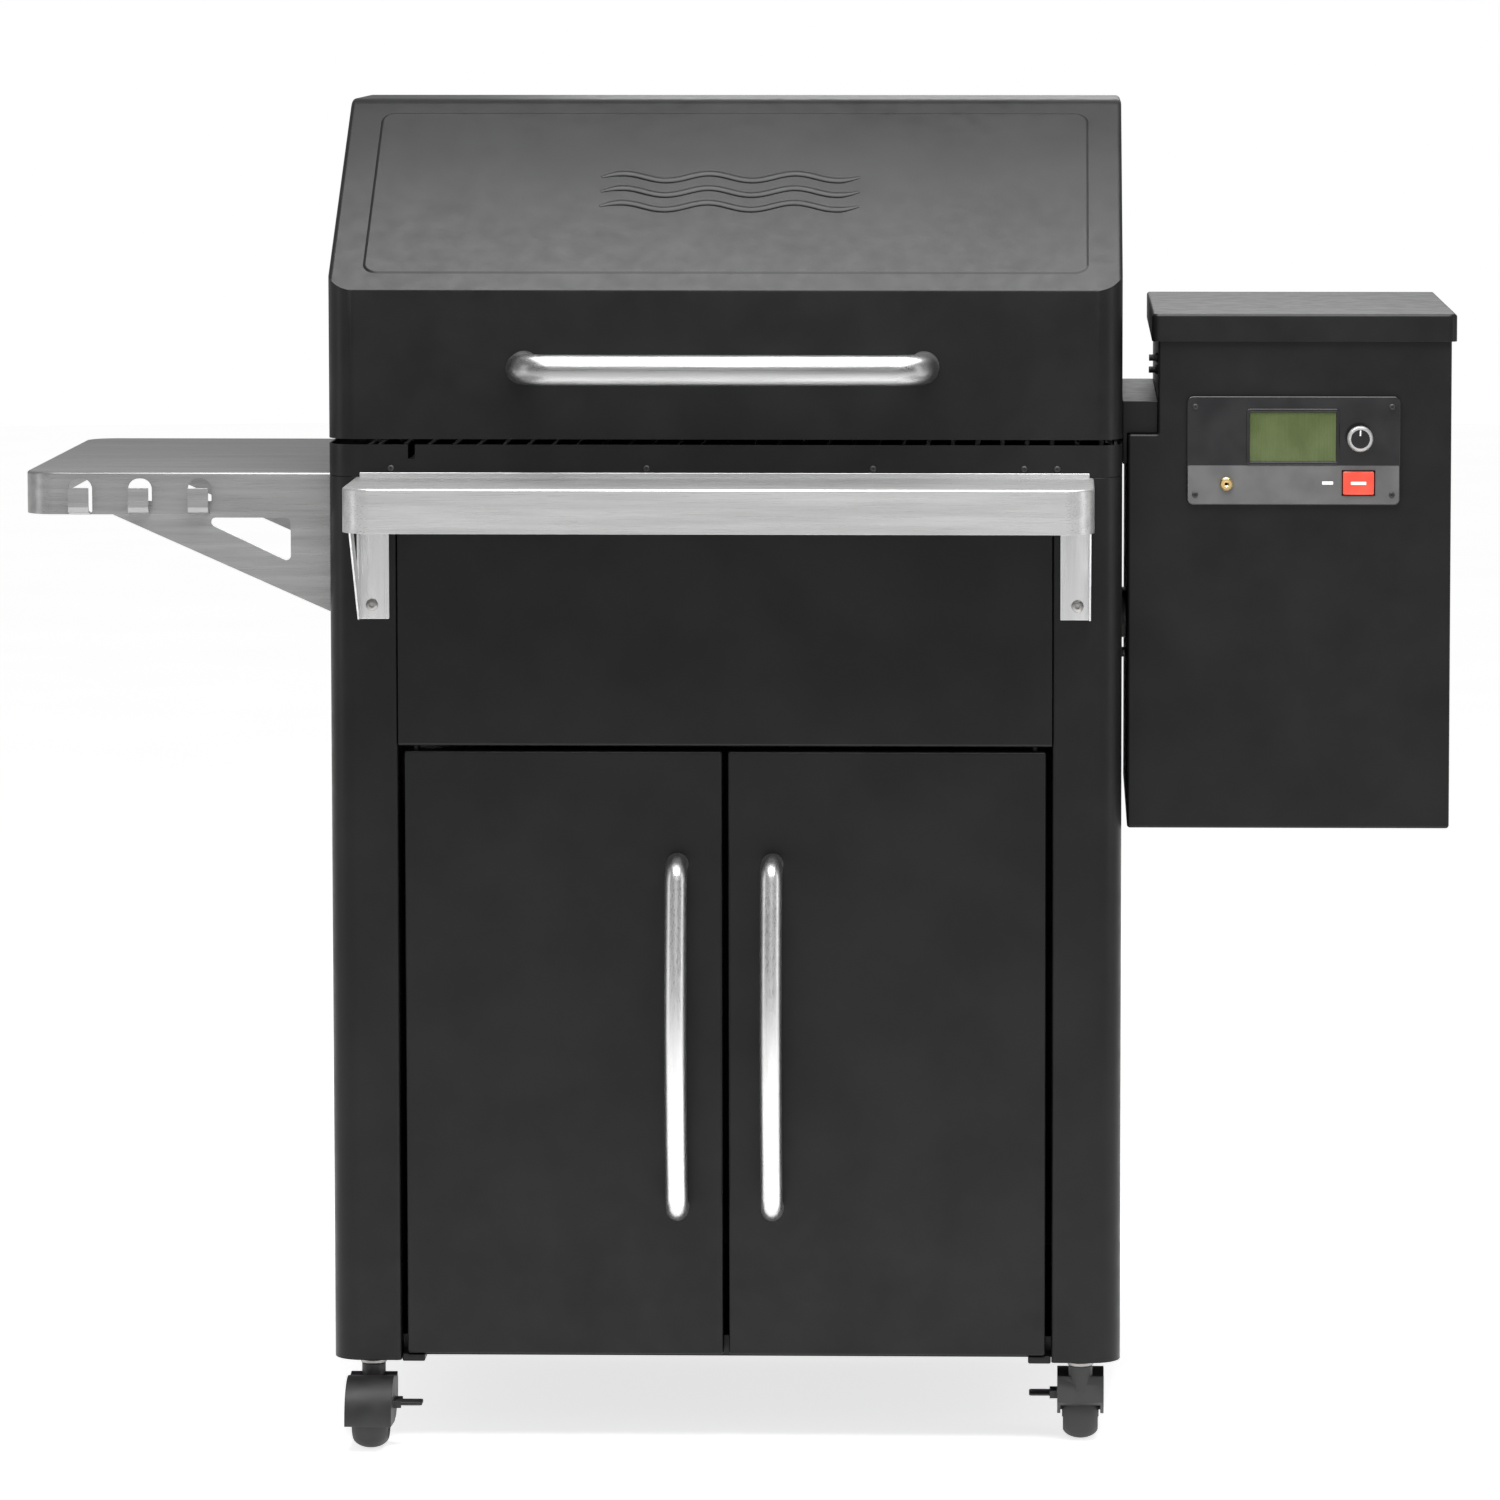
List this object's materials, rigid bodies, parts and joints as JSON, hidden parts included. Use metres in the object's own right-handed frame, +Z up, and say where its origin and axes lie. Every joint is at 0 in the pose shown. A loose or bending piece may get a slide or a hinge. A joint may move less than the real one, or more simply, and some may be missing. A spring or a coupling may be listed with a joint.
{
  "type": "pellet smoker grill",
  "caption": "Barrel pellet smoker with slant-front lid, two-door cabinet on casters, stainless front and side shelves and a side hopper with controller.",
  "frame": {"origin": "middle of the overall footprint, on the floor under the wheels", "axes": "+X to the right of a person facing the grill (hopper side), +Y towards its back, +Z up"},
  "size_m": [1.3192, 0.68, 1.236],
  "materials": {
    "black_coat": "satin black powder coat with a fine orange-peel texture",
    "stainless": "brushed stainless, grain along the length",
    "bare_steel": "plain zinc or heat-dulled steel",
    "enamelled_grate": "black porcelain enamel",
    "black_plastic": "moulded black plastic",
    "gloss_plastic": "glossy black bezel",
    "red_plastic": "red moulded plastic",
    "display_glass": "olive green display window, unlit",
    "brass": "turned brass",
    "caster_rubber": "black caster tyre"
  },
  "bodies": {
    "cabinet": {"side_panel_left": "black_coat", "side_panel_right": "black_coat", "front_fascia": "black_coat", "back_panel": "black_coat", "floor_panel": "black_coat", "door_pivot_left": "black_coat", "door_pivot_right": "black_coat", "barrel_tub": "black_coat", "grease_bucket_bracket": "black_coat", "hopper_box": "black_coat", "hopper_connector": "black_coat", "rear_vent": "black_coat", "front_shelf": "stainless", "shelf_bracket_left": "stainless", "shelf_bracket_right": "stainless", "side_shelf": "stainless", "lid_hinge": "bare_steel", "upper_rack": "bare_steel", "fire_pot": "bare_steel", "igniter_rod": "bare_steel", "heat_baffle": "bare_steel", "drip_tray": "bare_steel", "grease_bucket": "bare_steel", "hopper_bin": "bare_steel", "hopper_guard": "bare_steel", "auger_tube": "bare_steel", "auger_motor": "bare_steel", "caster_stem_front_left": "bare_steel", "caster_stem_front_right": "bare_steel", "caster_stem_rear_left": "bare_steel", "caster_stem_rear_right": "bare_steel", "grill_grate": "enamelled_grate", "fan_housing": "black_plastic", "power_inlet": "black_plastic", "controller_panel": "gloss_plastic", "display_lens": "display_glass", "probe_jack": "brass"},
    "lid": {"lid": "black_coat", "lid_handle": "stainless", "lid_hinge_leaf": "bare_steel"},
    "door_left": {"door_left": "black_coat", "door_left_handle": "stainless"},
    "door_right": {"door_right": "black_coat", "door_right_handle": "stainless"},
    "hopper_lid": {"hopper_lid": "black_coat"},
    "knob_stem": {"knob_stem": "black_plastic"},
    "knob": {"knob": "gloss_plastic"},
    "ignite_button": {"ignite_button": "red_plastic"},
    "auger": {"auger_screw": "bare_steel"},
    "fan": {"fan_impeller": "black_plastic"},
    "caster_fork_front_left": {"caster_fork_front_left": "black_plastic"},
    "caster_wheel_front_left": {"caster_wheel_front_left": "caster_rubber"},
    "caster_pedal_front_left": {"caster_pedal_front_left": "black_plastic"},
    "caster_fork_front_right": {"caster_fork_front_right": "black_plastic"},
    "caster_wheel_front_right": {"caster_wheel_front_right": "caster_rubber"},
    "caster_pedal_front_right": {"caster_pedal_front_right": "black_plastic"},
    "caster_fork_rear_left": {"caster_fork_rear_left": "black_plastic"},
    "caster_wheel_rear_left": {"caster_wheel_rear_left": "caster_rubber"},
    "caster_fork_rear_right": {"caster_fork_rear_right": "black_plastic"},
    "caster_wheel_rear_right": {"caster_wheel_rear_right": "caster_rubber"}
  },
  "joints": [
    {"name": "lid_swing", "type": "hinge", "parent": "cabinet", "child": "lid", "pos_m": [-0.0106, 0.323, 0.936], "axis": [-1, 0, 0], "range_deg": [0, 75]},
    {"name": "door_left_swing", "type": "hinge", "parent": "cabinet", "child": "door_left", "pos_m": [-0.2949, -0.182, 0.3645], "axis": [0, 0, -1], "range_deg": [0, 105]},
    {"name": "door_right_swing", "type": "hinge", "parent": "cabinet", "child": "door_right", "pos_m": [0.2737, -0.182, 0.3645], "axis": [0, 0, 1], "range_deg": [0, 105]},
    {"name": "hopper_lid_swing", "type": "hinge", "parent": "cabinet", "child": "hopper_lid", "pos_m": [0.5204, 0.277, 1.03], "axis": [-1, 0, 0], "range_deg": [0, 95]},
    {"name": "knob_press", "type": "slide", "parent": "cabinet", "child": "knob_stem", "axis": [0, 1, 0], "range_m": [0, 0.001], "stiffness_N_per_m": 600},
    {"name": "knob_turn", "type": "hinge", "parent": "knob_stem", "child": "knob", "pos_m": [0.5703, -0.15, 0.9307], "axis": [0, -1, 0], "continuous": true},
    {"name": "ignite_press", "type": "slide", "parent": "cabinet", "child": "ignite_button", "axis": [0, 1, 0], "range_m": [0, 0.0015], "stiffness_N_per_m": 800},
    {"name": "auger_turn", "type": "hinge", "parent": "cabinet", "child": "auger", "pos_m": [0.3194, 0.062, 0.75], "axis": [1, 0, 0], "continuous": true},
    {"name": "fan_spin", "type": "hinge", "parent": "cabinet", "child": "fan", "pos_m": [0.3734, 0.182, 0.76], "axis": [1, 0, 0], "continuous": true},
    {"name": "caster_swivel_front_left", "type": "hinge", "parent": "cabinet", "child": "caster_fork_front_left", "pos_m": [-0.3376, -0.179, 0.07], "axis": [0, 0, 1], "continuous": true},
    {"name": "caster_roll_front_left", "type": "hinge", "parent": "caster_fork_front_left", "child": "caster_wheel_front_left", "pos_m": [-0.3376, -0.208, 0.03], "axis": [1, 0, 0], "continuous": true},
    {"name": "caster_brake_front_left", "type": "hinge", "parent": "caster_fork_front_left", "child": "caster_pedal_front_left", "pos_m": [-0.3129, -0.208, 0.042], "axis": [0, 1, 0], "range_deg": [0, 15]},
    {"name": "caster_swivel_front_right", "type": "hinge", "parent": "cabinet", "child": "caster_fork_front_right", "pos_m": [0.3164, -0.179, 0.07], "axis": [0, 0, 1], "continuous": true},
    {"name": "caster_roll_front_right", "type": "hinge", "parent": "caster_fork_front_right", "child": "caster_wheel_front_right", "pos_m": [0.3164, -0.15, 0.03], "axis": [1, 0, 0], "continuous": true},
    {"name": "caster_brake_front_right", "type": "hinge", "parent": "caster_fork_front_right", "child": "caster_pedal_front_right", "pos_m": [0.2917, -0.15, 0.042], "axis": [0, -1, 0], "range_deg": [0, 15]},
    {"name": "caster_swivel_rear_left", "type": "hinge", "parent": "cabinet", "child": "caster_fork_rear_left", "pos_m": [-0.3376, 0.287, 0.07], "axis": [0, 0, 1], "continuous": true},
    {"name": "caster_roll_rear_left", "type": "hinge", "parent": "caster_fork_rear_left", "child": "caster_wheel_rear_left", "pos_m": [-0.3376, 0.258, 0.03], "axis": [1, 0, 0], "continuous": true},
    {"name": "caster_swivel_rear_right", "type": "hinge", "parent": "cabinet", "child": "caster_fork_rear_right", "pos_m": [0.3164, 0.287, 0.07], "axis": [0, 0, 1], "continuous": true},
    {"name": "caster_roll_rear_right", "type": "hinge", "parent": "caster_fork_rear_right", "child": "caster_wheel_rear_right", "pos_m": [0.3164, 0.258, 0.03], "axis": [1, 0, 0], "continuous": true}
  ]
}
